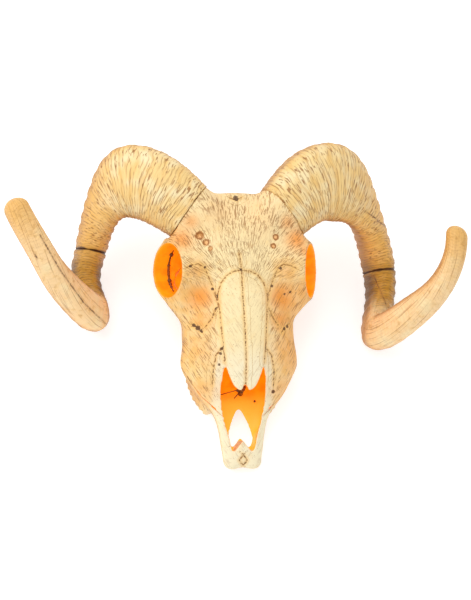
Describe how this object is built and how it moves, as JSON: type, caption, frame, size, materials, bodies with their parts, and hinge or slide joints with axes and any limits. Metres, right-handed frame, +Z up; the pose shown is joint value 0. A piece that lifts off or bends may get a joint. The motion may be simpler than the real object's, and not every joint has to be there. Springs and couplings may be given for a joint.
{
  "type": "ram skull decoration",
  "caption": "Hollow moulded ram skull lying on its teeth, with open eye sockets and nose and a pair of curled horns that sweep out to blunt tips.",
  "frame": {"origin": "centre of the bounding box's underside, on the table the skull lies on", "axes": "+Z up, +X to the viewer's right across the horns, nose towards -Y"},
  "size_m": [0.4694, 0.3263, 0.1516],
  "materials": {
    "shell": "ivory with brown wash in the engraved lines",
    "horn": "horn yellow with brown wash in the growth rings"
  },
  "bodies": {
    "root": {"skull_upper": "shell", "skull_lower": "shell", "horn_root_left": "horn", "horn_root_right": "horn", "horn_tip_left": "horn", "horn_tip_right": "horn"}
  },
  "joints": []
}
